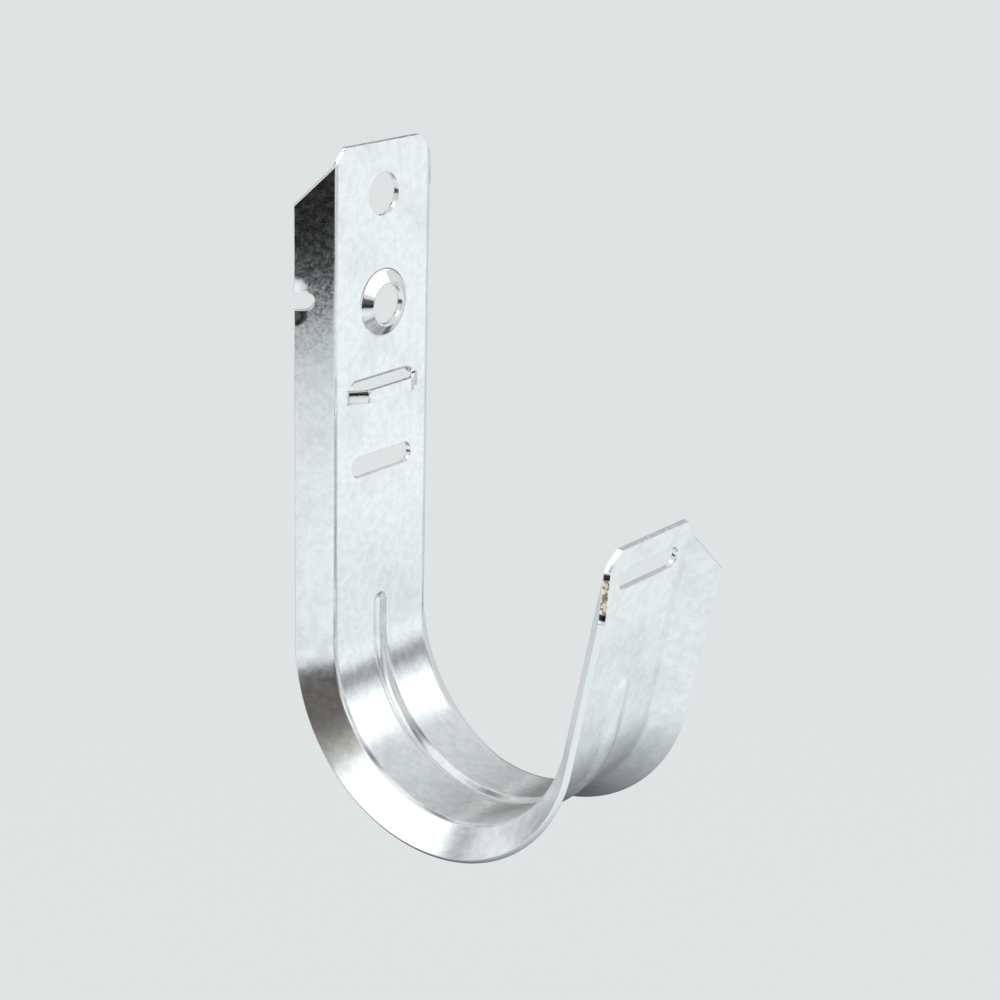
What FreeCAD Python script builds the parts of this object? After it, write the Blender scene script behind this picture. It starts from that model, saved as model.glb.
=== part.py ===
import FreeCAD, Part
import math
import os

import Sketcher

# A J hook that carries bundles of cable, pressed from one strip of galvanised steel.
# The back leg stands against the wall, the loop below it carries the cables, and the tip leg
# rises in front of them and leans outwards. Both long edges of the strip are folded away from
# the cables, so that the cables rest on a smooth rounded face.
# Frame: origin at the centre of the fixing hole, on the cable side of the back leg.
# X points from the back leg towards the tip, Y across the strip, Z up. Millimetres and degrees.

DRIVING_SIZES = [
    ("sheet_thickness", 1.1, "steel strip"),
    ("flat_width", 23.8, "flat middle of the strip, from fold to fold"),
    ("flange_width", 7.0, "folded edge, from the fold to its free edge"),
    ("flange_angle", 39.0, "turn of the folded edges away from the cable side"),
    ("fold_radius", 0.9, "inside radius of the two folds"),
    ("top_above_hole", 8.9, "top edge above the fixing hole"),
    ("hole_to_bend", 78.3, "fixing hole down to the start of the loop"),
    ("loop_radius", 25.4, "inside radius of the loop, for a bundle 50.8 across"),
    ("tip_lean", 11.0, "lean of the tip leg away from upright"),
    ("tip_leg_length", 37.1, "straight tip leg above the loop"),
    ("corner_cut", 2.6, "corner cut on the flat middle, the same both ways"),
    ("corner_drop", 6.5, "further drop of the corner cut across a folded edge"),
    ("fixing_hole_diameter", 7.4, "round hole for a quarter inch fastener"),
    ("dimple_below_hole", 18.9, "raised dimple below the fixing hole"),
    ("dimple_diameter", 11.6, "foot of the dimple"),
    ("dimple_height", 1.3, "rise of the dimple towards the cables"),
    ("dimple_hole_diameter", 7.0, "hole through the dimple"),
    ("dimple_lip", 0.35, "flat ring round the hole in the dimple"),
    ("notch_below_hole", 16.4, "notches in the folded edges, below the fixing hole"),
    ("notch_width", 2.9, "notch along the free edge"),
    ("notch_depth", 3.4, "notch from the free edge to its round end"),
    ("bridge_below_hole", 34.1, "middle of the raised bridge below the fixing hole"),
    ("bridge_band", 2.5, "height of the bridge's band"),
    ("bridge_span", 18.2, "bridge from foot to foot"),
    ("bridge_crown", 11.2, "flat crown of the bridge"),
    ("bridge_rise", 2.4, "rise of the crown towards the cables"),
    ("bridge_gap", 0.85, "open gap above the band"),
    ("bridge_gap_length", 15.6, "open gap from side to side"),
    ("tie_slot_below_hole", 47.2, "tie slot below the fixing hole"),
    ("tie_slot_length", 15.5, "tie slot from end to end"),
    ("tie_slot_width", 3.75, "tie slot from edge to edge"),
    ("tip_slot_from_end", 5.95, "tip slot below the end of the tip leg"),
    ("tip_slot_length", 16.2, "tip slot from end to end"),
    ("tip_slot_width", 3.9, "tip slot from edge to edge"),
    ("bead_width", 4.4, "stiffening groove at the cable face"),
    ("bead_depth", 1.1, "depth of the groove"),
    ("bead_above_bend", 4.4, "straight groove up the back leg"),
    ("bead_up_tip", 7.8, "straight groove up the tip leg"),
]

# Cutters and corner cuts run this many times past the metal that they cut.
OVERRUN = 1.25

# Places that several features share, worked out from the driving sizes.
BEND_Z = "(-sizes.hole_to_bend)"
TOP_Z = "sizes.top_above_hole"
TIP_X = "sizes.loop_radius * (1 + cos(sizes.tip_lean))"
TIP_Z = "(-sizes.hole_to_bend - sizes.loop_radius * sin(sizes.tip_lean))"
LOOP_TURN = "180 - sizes.tip_lean"
FLANGE_REACH = "sizes.flange_width * cos(sizes.flange_angle)"
FOLD_RUN = "(sizes.fold_radius + sizes.sheet_thickness) * tan(sizes.flange_angle / 2)"
STRIP_DEPTH = "(sizes.flange_width * sin(sizes.flange_angle) + sizes.sheet_thickness)"
CUT_DEPTH = f"2 * {OVERRUN} * {STRIP_DEPTH}"
BEAD_RADIUS = "((sizes.bead_width ^ 2 / 4 + sizes.bead_depth ^ 2) / (2 * sizes.bead_depth))"
BEAD_CENTRE = f"({BEAD_RADIUS} - sizes.bead_depth)"
RIB_RADIUS = f"({BEAD_RADIUS} + sizes.sheet_thickness)"
RIB_FOOT = "sizes.sheet_thickness / 2"

doc = FreeCAD.newDocument("j_hook")


def make_sizes():
    """The sheet of driving sizes: a name, its value and what it measures on each row."""
    sheet = doc.addObject("Spreadsheet::Sheet", "sizes")
    for row, (name, value, meaning) in enumerate(DRIVING_SIZES, start=1):
        sheet.set(f"A{row}", name)
        sheet.set(f"B{row}", str(value))
        sheet.set(f"C{row}", meaning)
        sheet.setAlias(f"B{row}", name)
    doc.recompute()
    return sheet


sizes = make_sizes()


def size(name):
    """A driving size as a number, for a first guess at a sketch's shape."""
    return float(sizes.get(name))


def new_sketch(body, name, plane, offset=None):
    """A sketch on one of the body's origin planes, moved by a placement expression."""
    sketch = body.newObject("Sketcher::SketchObject", name)
    support = next(f for f in body.Origin.OriginFeatures if f.Role == plane)
    sketch.AttachmentSupport = [(support, "")]
    sketch.MapMode = "FlatFace"
    if offset:
        sketch.setExpression("AttachmentOffset", offset)
    return sketch


def bind(sketch, constraint, expression, name):
    """Adds a measured constraint, names it and ties it to the driving sizes."""
    index = sketch.addConstraint(constraint)
    sketch.renameConstraint(index, name)
    sketch.setExpression(f"Constraints.{name}", expression)


def hold_x(sketch, geometry, end, rule, name):
    """Ties a point's place along the sketch's X to the driving sizes."""
    here = sketch.getPoint(geometry, end).x
    bind(sketch, Sketcher.Constraint("DistanceX", -1, 1, geometry, end, here), rule, name)


def hold_y(sketch, geometry, end, rule, name):
    """Ties a point's place along the sketch's Y to the driving sizes."""
    here = sketch.getPoint(geometry, end).y
    bind(sketch, Sketcher.Constraint("DistanceY", -1, 1, geometry, end, here), rule, name)


def point(x, y):
    return FreeCAD.Vector(x, y, 0)


def add_line(sketch, first, last, construction=False):
    return sketch.addGeometry(Part.LineSegment(first, last), construction)


def add_arc(sketch, centre, radius, start, end):
    circle = Part.Circle(centre, FreeCAD.Vector(0, 0, 1), radius)
    return sketch.addGeometry(Part.ArcOfCircle(circle, start, end), False)


def add_circle(sketch, centre, radius):
    return sketch.addGeometry(Part.Circle(centre, FreeCAD.Vector(0, 0, 1), radius), False)


def add_loop(sketch, corners):
    """A closed outline of straight lines through the corners, joined end to end."""
    count = len(corners)
    lines = []
    for i, corner in enumerate(corners):
        following = corners[(i + 1) % count]
        lines.append(add_line(sketch, point(*corner), point(*following)))
    for i, line in enumerate(lines):
        sketch.addConstraint(Sketcher.Constraint("Coincident", line, 2, lines[(i + 1) % count], 1))
    return lines


def place_outline(sketch, corners):
    """A closed outline of straight lines. Each corner is its place for a first guess, then the
    two rules that hold it there."""
    lines = add_loop(sketch, [(x, y) for x, y, _, _ in corners])
    for i, (_, _, x_rule, y_rule) in enumerate(corners):
        hold_x(sketch, lines[i], 1, x_rule, f"corner_{i}_x")
        hold_y(sketch, lines[i], 1, y_rule, f"corner_{i}_y")


def pad(body, name, sketch, length, reverse=False):
    feature = body.newObject("PartDesign::Pad", name)
    feature.Profile = sketch
    feature.setExpression("Length", length)
    feature.Reversed = reverse
    return feature


def pocket(body, name, sketch, length, midplane=False, reverse=False):
    feature = body.newObject("PartDesign::Pocket", name)
    feature.Profile = sketch
    feature.setExpression("Length", length)
    feature.Midplane = midplane
    feature.Reversed = reverse
    return feature


def turned(body, kind, name, sketch, axis, angle, midplane=False, reverse=False):
    """A Revolution or a Groove of a sketch about one of its own lines."""
    feature = body.newObject(f"PartDesign::{kind}", name)
    feature.Profile = sketch
    feature.ReferenceAxis = (sketch, [axis])
    feature.setExpression("Angle", angle)
    feature.Midplane = midplane
    feature.Reversed = reverse
    return feature


def mirrored(body, name, original):
    """The same feature on the other side of the strip."""
    feature = body.newObject("PartDesign::Mirrored", name)
    feature.Originals = [original]
    plane = next(f for f in body.Origin.OriginFeatures if f.Role == "XZ_Plane")
    feature.MirrorPlane = (plane, [""])
    body.Tip = feature
    return feature


def add_loop_axis(sketch):
    """The axis of the loop as the sketch's first construction line."""
    radius = size("loop_radius")
    reach = size("flat_width") / 2
    axis = add_line(sketch, point(radius, -reach), point(radius, reach), construction=True)
    sketch.addConstraint(Sketcher.Constraint("Symmetric", axis, 1, axis, 2, -1))
    hold_x(sketch, axis, 1, "sizes.loop_radius", "axis_place")
    hold_y(sketch, axis, 2, "sizes.flat_width / 2", "axis_end")


def strip_section(body, name, offset):
    """The strip's cross-section: a flat middle and two folded edges, with rounded folds.
    The sketch's X is the cable side and its Y runs across the strip. Its first construction
    line is the axis of the loop."""
    sketch = new_sketch(body, name, "XY_Plane", offset)
    half = size("flat_width") / 2
    turn = math.radians(size("flange_angle"))
    thick = size("sheet_thickness")
    inner = size("fold_radius")
    outer = inner + thick
    run = outer * math.tan(turn / 2)
    reach = size("flange_width")

    def along(side, distance, depth):
        """A point on the folded edge, at a distance from the fold's corner and a depth in the sheet."""
        x = -distance * math.sin(turn) - depth * math.cos(turn)
        y = half + distance * math.cos(turn) - depth * math.sin(turn)
        return point(x, side * y)

    front = add_line(sketch, point(0, -(half - run)), point(0, half - run))
    back = add_line(sketch, point(-thick, -(half - run)), point(-thick, half - run))
    for side in (1, -1):
        centre = point(-outer, side * (half - run))
        first, last = (0, turn) if side > 0 else (-turn, 0)
        outer_arc = add_arc(sketch, centre, outer, first, last)
        inner_arc = add_arc(sketch, centre, inner, first, last)
        outer_face = add_line(sketch, along(side, run, 0), along(side, reach, 0))
        free_edge = add_line(sketch, along(side, reach, 0), along(side, reach, thick))
        inner_face = add_line(sketch, along(side, reach, thick), along(side, run, thick))
        near_end, far_end = (1, 2) if side > 0 else (2, 1)
        flat_end = 2 if side > 0 else 1
        sketch.addConstraint(Sketcher.Constraint("Tangent", front, flat_end, outer_arc, near_end))
        sketch.addConstraint(Sketcher.Constraint("Tangent", back, flat_end, inner_arc, near_end))
        sketch.addConstraint(Sketcher.Constraint("Tangent", outer_arc, far_end, outer_face, 1))
        sketch.addConstraint(Sketcher.Constraint("Tangent", inner_arc, far_end, inner_face, 2))
        sketch.addConstraint(Sketcher.Constraint("Coincident", outer_face, 2, free_edge, 1))
        sketch.addConstraint(Sketcher.Constraint("Coincident", free_edge, 2, inner_face, 1))
        sketch.addConstraint(Sketcher.Constraint("Coincident", outer_arc, 3, inner_arc, 3))
        sketch.addConstraint(Sketcher.Constraint("Perpendicular", outer_face, free_edge))
        sketch.addConstraint(Sketcher.Constraint("Parallel", outer_face, inner_face))
        word = "far" if side > 0 else "near"
        bind(sketch, Sketcher.Constraint("Radius", inner_arc, inner), "sizes.fold_radius", f"fold_{word}")
        bind(sketch, Sketcher.Constraint("Distance", outer_face, reach - run),
             f"sizes.flange_width - {FOLD_RUN}", f"flange_{word}")
        bind(sketch, Sketcher.Constraint("Angle", front, outer_face, turn if side > 0 else math.pi - turn),
             "sizes.flange_angle" if side > 0 else "180 - sizes.flange_angle", f"turn_{word}")
    sketch.addConstraint(Sketcher.Constraint("PointOnObject", front, 1, -2))
    sketch.addConstraint(Sketcher.Constraint("Symmetric", front, 1, front, 2, -1))
    sketch.addConstraint(Sketcher.Constraint("Vertical", back))
    bind(sketch, Sketcher.Constraint("Distance", front, 2 * (half - run)),
         f"sizes.flat_width - 2 * {FOLD_RUN}", "flat")
    bind(sketch, Sketcher.Constraint("DistanceX", back, 1, front, 1, thick),
         "sizes.sheet_thickness", "thickness")
    add_loop_axis(sketch)
    return sketch


def level(z_rule):
    """Moves a sketch on the XY plane up to a height."""
    return f"placement(vector(0; 0; {z_rule}); rotation(vector(0; 0; 1); 0))"


# Square to the tip leg where the loop ends, with its X towards the cables.
TIP_BASE = f"placement(vector({TIP_X}; 0; {TIP_Z}); rotation(vector(0; 1; 0); 180 + sizes.tip_lean))"
# In the cable face of the tip leg, with its Y up the leg from the end of the loop.
TIP_FACE = f"placement(vector(0; {TIP_Z}; {TIP_X}); rotation(vector(1; 0; 0); sizes.tip_lean))"
# In the cable face of the far folded edge, with its X from the fold to the free edge.
FLANGE_FACE = ("placement(vector(sizes.flat_width / 2; 0; 0); "
               "rotation(vector(0; 1; 0); sizes.flange_angle))")


def make_strip(body):
    """Back leg, loop and tip leg, all of the same section."""
    section = strip_section(body, "loop_section", level(BEND_Z))
    tip_section = strip_section(body, "tip_section", TIP_BASE)
    pad(body, "back_leg", section, "sizes.hole_to_bend + sizes.top_above_hole")
    turned(body, "Revolution", "loop", section, "Axis0", LOOP_TURN, reverse=True)
    pad(body, "tip_leg", tip_section, "sizes.tip_leg_length", reverse=True)


def corner_sketch(body, name, offset, end_rule):
    """The waste outside a cut corner: across the flat middle, then steeper across the fold."""
    sketch = new_sketch(body, name, "YZ_Plane", offset)
    half = size("flat_width") / 2
    cut = size("corner_cut")
    reach = size("flange_width") * math.cos(math.radians(size("flange_angle"))) * OVERRUN
    end = size("top_above_hole")
    drop = size("corner_drop") * OVERRUN
    inside = "sizes.flat_width / 2 - sizes.corner_cut"
    outside = f"sizes.flat_width / 2 + {OVERRUN} * {FLANGE_REACH}"
    above = f"{end_rule} + sizes.corner_cut"
    place_outline(sketch, [
        (half - cut, end + cut, inside, above),
        (half - cut, end, inside, end_rule),
        (half, end - cut, "sizes.flat_width / 2", f"{end_rule} - sizes.corner_cut"),
        (half + reach, end - cut - drop, outside,
         f"{end_rule} - sizes.corner_cut - {OVERRUN} * sizes.corner_drop"),
        (half + reach, end + cut, outside, above),
    ])
    return sketch


def cut_corners(body):
    """The cut corners at both ends of the strip."""
    top = corner_sketch(body, "top_corner_outline", None, TOP_Z)
    top_corner = pocket(body, "top_corner", top, CUT_DEPTH, midplane=True)
    mirrored(body, "top_corner_near", top_corner)
    tip = corner_sketch(body, "tip_corner_outline", TIP_FACE, "sizes.tip_leg_length")
    tip_corner = pocket(body, "tip_corner", tip, CUT_DEPTH, midplane=True)
    mirrored(body, "tip_corner_near", tip_corner)


def drill(body, name, diameter_rule, height_rule=None):
    """A round hole through the middle of the back leg, at the origin or at a height."""
    sketch = new_sketch(body, f"{name}_outline", "YZ_Plane")
    circle = add_circle(sketch, point(0, -1), 3)
    bind(sketch, Sketcher.Constraint("Diameter", circle, 6.0), diameter_rule, "diameter")
    if height_rule:
        sketch.addConstraint(Sketcher.Constraint("PointOnObject", circle, 3, -2))
        hold_y(sketch, circle, 3, height_rule, "height")
    else:
        sketch.addConstraint(Sketcher.Constraint("Coincident", circle, 3, -1, 1))
    pocket(body, name, sketch, CUT_DEPTH, midplane=True)


def frustum_sketch(body, name, foot_x, top_x, foot_radius, top_radius):
    """Half the section of a cone frustum round the dimple's axis, in the strip's middle plane.
    Its first construction line is the axis."""
    sketch = new_sketch(body, name, "XZ_Plane")
    low = -size("dimple_below_hole")
    drop = "-sizes.dimple_below_hole"
    place_outline(sketch, [
        (-1, low, foot_x, drop), (1, low, top_x, drop),
        (1, low + 4, top_x, f"{drop} + {top_radius}"), (-1, low + 5, foot_x, f"{drop} + {foot_radius}"),
    ])
    axis = add_line(sketch, point(-2, low), point(2, low), construction=True)
    hold_x(sketch, axis, 1, "-sizes.sheet_thickness", "axis_from")
    hold_x(sketch, axis, 2, "sizes.sheet_thickness", "axis_to")
    hold_y(sketch, axis, 1, drop, "axis_height")
    sketch.addConstraint(Sketcher.Constraint("Horizontal", axis))
    return sketch


def press_dimple(body):
    """A ring of the sheet pushed out towards the cables as a cone, with a hole through its crown."""
    foot = "sizes.dimple_diameter / 2"
    crown = "(sizes.dimple_hole_diameter / 2 + sizes.dimple_lip)"
    slope = f"({foot} - {crown}) / sizes.dimple_height"
    boss = frustum_sketch(body, "dimple_face", "-sizes.sheet_thickness / 2", "sizes.dimple_height",
                          f"{foot} + {slope} * sizes.sheet_thickness / 2", crown)
    turned(body, "Revolution", "dimple", boss, "Axis0", "360")
    inset = f"sizes.sheet_thickness * tan(atan(1 / ({slope})) / 2)"
    hollow = frustum_sketch(body, "dimple_hollow_outline",
                            "-2 * sizes.sheet_thickness", "sizes.dimple_height - sizes.sheet_thickness",
                            f"{foot} - {inset} + {slope} * sizes.sheet_thickness", f"{crown} - {inset}")
    turned(body, "Groove", "dimple_hollow", hollow, "Axis0", "360")
    drill(body, "dimple_hole", "sizes.dimple_hole_diameter", "-sizes.dimple_below_hole")


def slot_sketch(body, name, offset, height_rule, length_rule, width_rule, height, length, width):
    """A slot across the strip with round ends."""
    sketch = new_sketch(body, name, "YZ_Plane", offset)
    r = width / 2
    a = length / 2 - r
    right = add_arc(sketch, point(a, height), r, -math.pi / 2, math.pi / 2)
    left = add_arc(sketch, point(-a, height), r, math.pi / 2, 1.5 * math.pi)
    upper = add_line(sketch, point(a, height + r), point(-a, height + r))
    lower = add_line(sketch, point(-a, height - r), point(a, height - r))
    sketch.addConstraint(Sketcher.Constraint("Tangent", right, 2, upper, 1))
    sketch.addConstraint(Sketcher.Constraint("Tangent", upper, 2, left, 1))
    sketch.addConstraint(Sketcher.Constraint("Tangent", left, 2, lower, 1))
    sketch.addConstraint(Sketcher.Constraint("Tangent", lower, 2, right, 1))
    sketch.addConstraint(Sketcher.Constraint("Horizontal", upper))
    sketch.addConstraint(Sketcher.Constraint("Symmetric", right, 3, left, 3, -2))
    bind(sketch, Sketcher.Constraint("Radius", right, r), f"{width_rule} / 2", "end_radius")
    bind(sketch, Sketcher.Constraint("DistanceX", left, 3, right, 3, 2 * a),
         f"{length_rule} - {width_rule}", "centres")
    hold_y(sketch, right, 3, height_rule, "height")
    return sketch


def cut_tie_slots(body):
    """The slots for a cable tie: one low on the back leg and one near the end of the tip leg."""
    back = slot_sketch(body, "tie_slot_outline", None, "-sizes.tie_slot_below_hole",
                       "sizes.tie_slot_length", "sizes.tie_slot_width",
                       -size("tie_slot_below_hole"), size("tie_slot_length"), size("tie_slot_width"))
    pocket(body, "tie_slot", back, CUT_DEPTH, midplane=True)
    tip = slot_sketch(body, "tip_slot_outline", TIP_FACE,
                      "sizes.tip_leg_length - sizes.tip_slot_from_end",
                      "sizes.tip_slot_length", "sizes.tip_slot_width",
                      size("tip_leg_length") - size("tip_slot_from_end"),
                      size("tip_slot_length"), size("tip_slot_width"))
    pocket(body, "tip_slot", tip, CUT_DEPTH, midplane=True)


def cut_notches(body):
    """A round-ended notch in the free edge of each folded edge."""
    sketch = new_sketch(body, "notch_outline", "YZ_Plane", FLANGE_FACE)
    r = size("notch_width") / 2
    height = -size("notch_below_hole")
    centre = size("flange_width") - size("notch_depth") + r
    mouth = size("flange_width") + r
    end = add_arc(sketch, point(centre, height), r, math.pi / 2, 1.5 * math.pi)
    lower = add_line(sketch, point(centre, height - r), point(mouth, height - r))
    front = add_line(sketch, point(mouth, height - r), point(mouth, height + r))
    upper = add_line(sketch, point(mouth, height + r), point(centre, height + r))
    sketch.addConstraint(Sketcher.Constraint("Tangent", end, 2, lower, 1))
    sketch.addConstraint(Sketcher.Constraint("Coincident", lower, 2, front, 1))
    sketch.addConstraint(Sketcher.Constraint("Coincident", front, 2, upper, 1))
    sketch.addConstraint(Sketcher.Constraint("Tangent", upper, 2, end, 1))
    sketch.addConstraint(Sketcher.Constraint("Horizontal", lower))
    sketch.addConstraint(Sketcher.Constraint("Horizontal", upper))
    sketch.addConstraint(Sketcher.Constraint("Vertical", front))
    bind(sketch, Sketcher.Constraint("Radius", end, r), "sizes.notch_width / 2", "end_radius")
    hold_y(sketch, end, 3, "-sizes.notch_below_hole", "height")
    hold_x(sketch, end, 3, "sizes.flange_width - sizes.notch_depth + sizes.notch_width / 2", "end_place")
    hold_x(sketch, front, 1, "sizes.flange_width + sizes.notch_width / 2", "mouth")
    notch = pocket(body, "notch", sketch, f"2 * {OVERRUN} * sizes.sheet_thickness", midplane=True)
    mirrored(body, "notch_near", notch)


def press_bridge(body):
    """A band of the sheet, sheared free above and below and pushed out towards the cables,
    so that a tie passes behind it. The window behind it reaches above the band."""
    window = new_sketch(body, "bridge_window_outline", "YZ_Plane")
    foot = size("bridge_span") / 2
    side = size("bridge_gap_length") / 2
    low = -size("bridge_below_hole") - size("bridge_band") / 2
    high = low + size("bridge_band")
    top = high + size("bridge_gap")
    foot_y, side_y = "sizes.bridge_span / 2", "sizes.bridge_gap_length / 2"
    low_z = "-sizes.bridge_below_hole - sizes.bridge_band / 2"
    high_z = "-sizes.bridge_below_hole + sizes.bridge_band / 2"
    top_z = f"{high_z} + sizes.bridge_gap"
    corners = [
        (-foot, low, f"-{foot_y}", low_z), (foot, low, foot_y, low_z),
        (foot, high, foot_y, high_z), (side, high, side_y, high_z),
        (side, top, side_y, top_z), (-side, top, f"-{side_y}", top_z),
        (-side, high, f"-{side_y}", high_z), (-foot, high, f"-{foot_y}", high_z),
    ]
    place_outline(window, corners)
    pocket(body, "bridge_window", window, CUT_DEPTH, midplane=True)

    band = new_sketch(body, "bridge_outline", "XY_Plane", level(f"({low_z})"))
    crown = size("bridge_crown") / 2
    rise = size("bridge_rise")
    thick = size("sheet_thickness")
    crown_y = "sizes.bridge_crown / 2"
    front_x, back_x = "sizes.bridge_rise", "sizes.bridge_rise - sizes.sheet_thickness"
    corners = [
        (0, foot, "0", foot_y), (rise, crown, front_x, crown_y),
        (rise, -crown, front_x, f"-{crown_y}"), (0, -foot, "0", f"-{foot_y}"),
        (-thick, -foot, "-sizes.sheet_thickness", f"-{foot_y}"),
        (rise - thick, -crown, back_x, f"-{crown_y}"),
        (rise - thick, crown, back_x, crown_y), (-thick, foot, "-sizes.sheet_thickness", foot_y),
    ]
    place_outline(band, corners)
    pad(body, "bridge", band, "sizes.bridge_band")


def rib_section(body, name, offset):
    """The ridge that the bead raises on the back of the strip: an arc closed inside the sheet."""
    sketch = new_sketch(body, name, "XY_Plane", offset)
    thick = size("sheet_thickness")
    depth = size("bead_depth")
    radius = (size("bead_width") ** 2 / 4 + depth ** 2) / (2 * depth)
    centre = radius - depth
    outer = radius + thick
    spread = math.acos((centre + thick / 2) / outer)
    half = outer * math.sin(spread)
    arc = add_arc(sketch, point(centre, 0), outer, math.pi - spread, math.pi + spread)
    chord = add_line(sketch, point(-thick / 2, -half), point(-thick / 2, half))
    sketch.addConstraint(Sketcher.Constraint("Coincident", arc, 2, chord, 1))
    sketch.addConstraint(Sketcher.Constraint("Coincident", chord, 2, arc, 1))
    sketch.addConstraint(Sketcher.Constraint("PointOnObject", arc, 3, -1))
    sketch.addConstraint(Sketcher.Constraint("Vertical", chord))
    bind(sketch, Sketcher.Constraint("Radius", arc, outer), RIB_RADIUS, "rib_radius")
    hold_x(sketch, arc, 3, BEAD_CENTRE, "rib_centre")
    hold_x(sketch, chord, 1, f"-{RIB_FOOT}", "rib_foot")
    add_loop_axis(sketch)
    return sketch


def groove_section(body, name, offset):
    """The round cutter of the bead's groove, seen along the strip."""
    sketch = new_sketch(body, name, "XY_Plane", offset)
    depth = size("bead_depth")
    radius = (size("bead_width") ** 2 / 4 + depth ** 2) / (2 * depth)
    circle = add_circle(sketch, point(radius - depth, 0), radius)
    sketch.addConstraint(Sketcher.Constraint("PointOnObject", circle, 3, -1))
    bind(sketch, Sketcher.Constraint("Radius", circle, radius), BEAD_RADIUS, "groove_radius")
    hold_x(sketch, circle, 3, BEAD_CENTRE, "groove_centre")
    add_loop_axis(sketch)
    return sketch


def cap_sketch(body, name, offset, rib):
    """Half of the rib's or the groove's round end, seen from the side. Its first construction
    line is the line through the sheet that the end turns about. The sketch's X is the cable
    side, and its Y points along the strip past the end of the bead."""
    sketch = new_sketch(body, name, "XY_Plane", offset)
    thick = size("sheet_thickness")
    depth = size("bead_depth")
    radius = (size("bead_width") ** 2 / 4 + depth ** 2) / (2 * depth)
    centre = radius - depth
    outer = radius + thick if rib else radius
    foot = -thick / 2 if rib else centre
    spread = math.acos((centre - foot) / outer)
    arc = add_arc(sketch, point(centre, 0), outer, math.pi - spread, math.pi)
    axis_side = add_line(sketch, point(centre - outer, 0), point(foot, 0))
    chord = add_line(sketch, point(foot, 0), point(foot, outer * math.sin(spread)))
    sketch.addConstraint(Sketcher.Constraint("Coincident", arc, 2, axis_side, 1))
    sketch.addConstraint(Sketcher.Constraint("Coincident", axis_side, 2, chord, 1))
    sketch.addConstraint(Sketcher.Constraint("Coincident", chord, 2, arc, 1))
    sketch.addConstraint(Sketcher.Constraint("PointOnObject", arc, 3, -1))
    sketch.addConstraint(Sketcher.Constraint("PointOnObject", axis_side, 1, -1))
    sketch.addConstraint(Sketcher.Constraint("PointOnObject", axis_side, 2, -1))
    sketch.addConstraint(Sketcher.Constraint("Vertical", chord))
    bind(sketch, Sketcher.Constraint("Radius", arc, outer), RIB_RADIUS if rib else BEAD_RADIUS, "radius")
    hold_x(sketch, arc, 3, BEAD_CENTRE, "centre")
    hold_x(sketch, chord, 1, f"-{RIB_FOOT}" if rib else BEAD_CENTRE, "foot")
    return sketch


# The bead's ends, as planes through the middle of the strip: X towards the cables, and Y along
# the strip past the end of the bead.
BACK_END = f"placement(vector(0; 0; {BEND_Z} + sizes.bead_above_bend); rotation(vector(1; 0; 0); 90))"
TIP_END = (
    f"placement(vector({TIP_X} + sizes.bead_up_tip * sin(sizes.tip_lean); 0; "
    f"{TIP_Z} + sizes.bead_up_tip * cos(sizes.tip_lean)); "
    "rotation(vector(0; 1; 0); 180 + sizes.tip_lean) * rotation(vector(1; 0; 0); -90))"
)


def press_bead(body):
    """The stiffening bead: a groove on the cable side and the rib that it raises on the back,
    from low on the back leg, round the loop and a little way up the tip leg."""
    rib = rib_section(body, "rib_section", level(BEND_Z))
    rib_tip = rib_section(body, "rib_tip_section", TIP_BASE)
    pad(body, "rib_back", rib, "sizes.bead_above_bend")
    turned(body, "Revolution", "rib_loop", rib, "Axis0", LOOP_TURN, reverse=True)
    pad(body, "rib_tip", rib_tip, "sizes.bead_up_tip", reverse=True)
    for name, offset in (("rib_back_end", BACK_END), ("rib_tip_end", TIP_END)):
        cap = cap_sketch(body, f"{name}_outline", offset, rib=True)
        turned(body, "Revolution", name, cap, "H_Axis", "180", midplane=True)
    groove = groove_section(body, "groove_section", level(BEND_Z))
    groove_tip = groove_section(body, "groove_tip_section", TIP_BASE)
    pocket(body, "groove_back", groove, "sizes.bead_above_bend", reverse=True)
    turned(body, "Groove", "groove_loop", groove, "Axis0", LOOP_TURN, reverse=True)
    pocket(body, "groove_tip", groove_tip, "sizes.bead_up_tip")
    for name, offset in (("groove_back_end", BACK_END), ("groove_tip_end", TIP_END)):
        cap = cap_sketch(body, f"{name}_outline", offset, rib=False)
        turned(body, "Groove", name, cap, "H_Axis", "180", midplane=True)


def make_hook_strip():
    """The whole hook, in the order that its features depend on each other."""
    body = doc.addObject("PartDesign::Body", "hook_strip")
    body.Label = "hook_strip"
    doc.recompute()
    make_strip(body)
    press_bead(body)
    cut_corners(body)
    drill(body, "fixing_hole", "sizes.fixing_hole_diameter")
    press_dimple(body)
    cut_notches(body)
    press_bridge(body)
    cut_tie_slots(body)
    return body


def check_model(bodies):
    """Stops before anything is written if a feature failed or a solid is not sound."""
    failed = [o.Name for o in doc.Objects if "Invalid" in o.State or "Error" in o.State]
    if failed:
        raise RuntimeError(f"features that failed: {failed}")
    for body in bodies:
        shape = body.Shape
        if shape.isNull() or not shape.isValid() or len(shape.Solids) != 1:
            raise RuntimeError(f"{body.Label} is not one sound solid")


def write_parts(bodies):
    os.makedirs("parts", exist_ok=True)
    for body in bodies:
        body.Shape.exportStep(f"parts/{body.Label}.step")


hook_strip = make_hook_strip()
doc.recompute()
check_model([hook_strip])
write_parts([hook_strip])
print("hook_strip volume", round(hook_strip.Shape.Volume, 2), hook_strip.Shape.BoundBox)
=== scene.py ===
import math

import bmesh
import bpy
from bpy.props import FloatProperty, FloatVectorProperty, PointerProperty
from mathutils import Matrix, Vector


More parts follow.
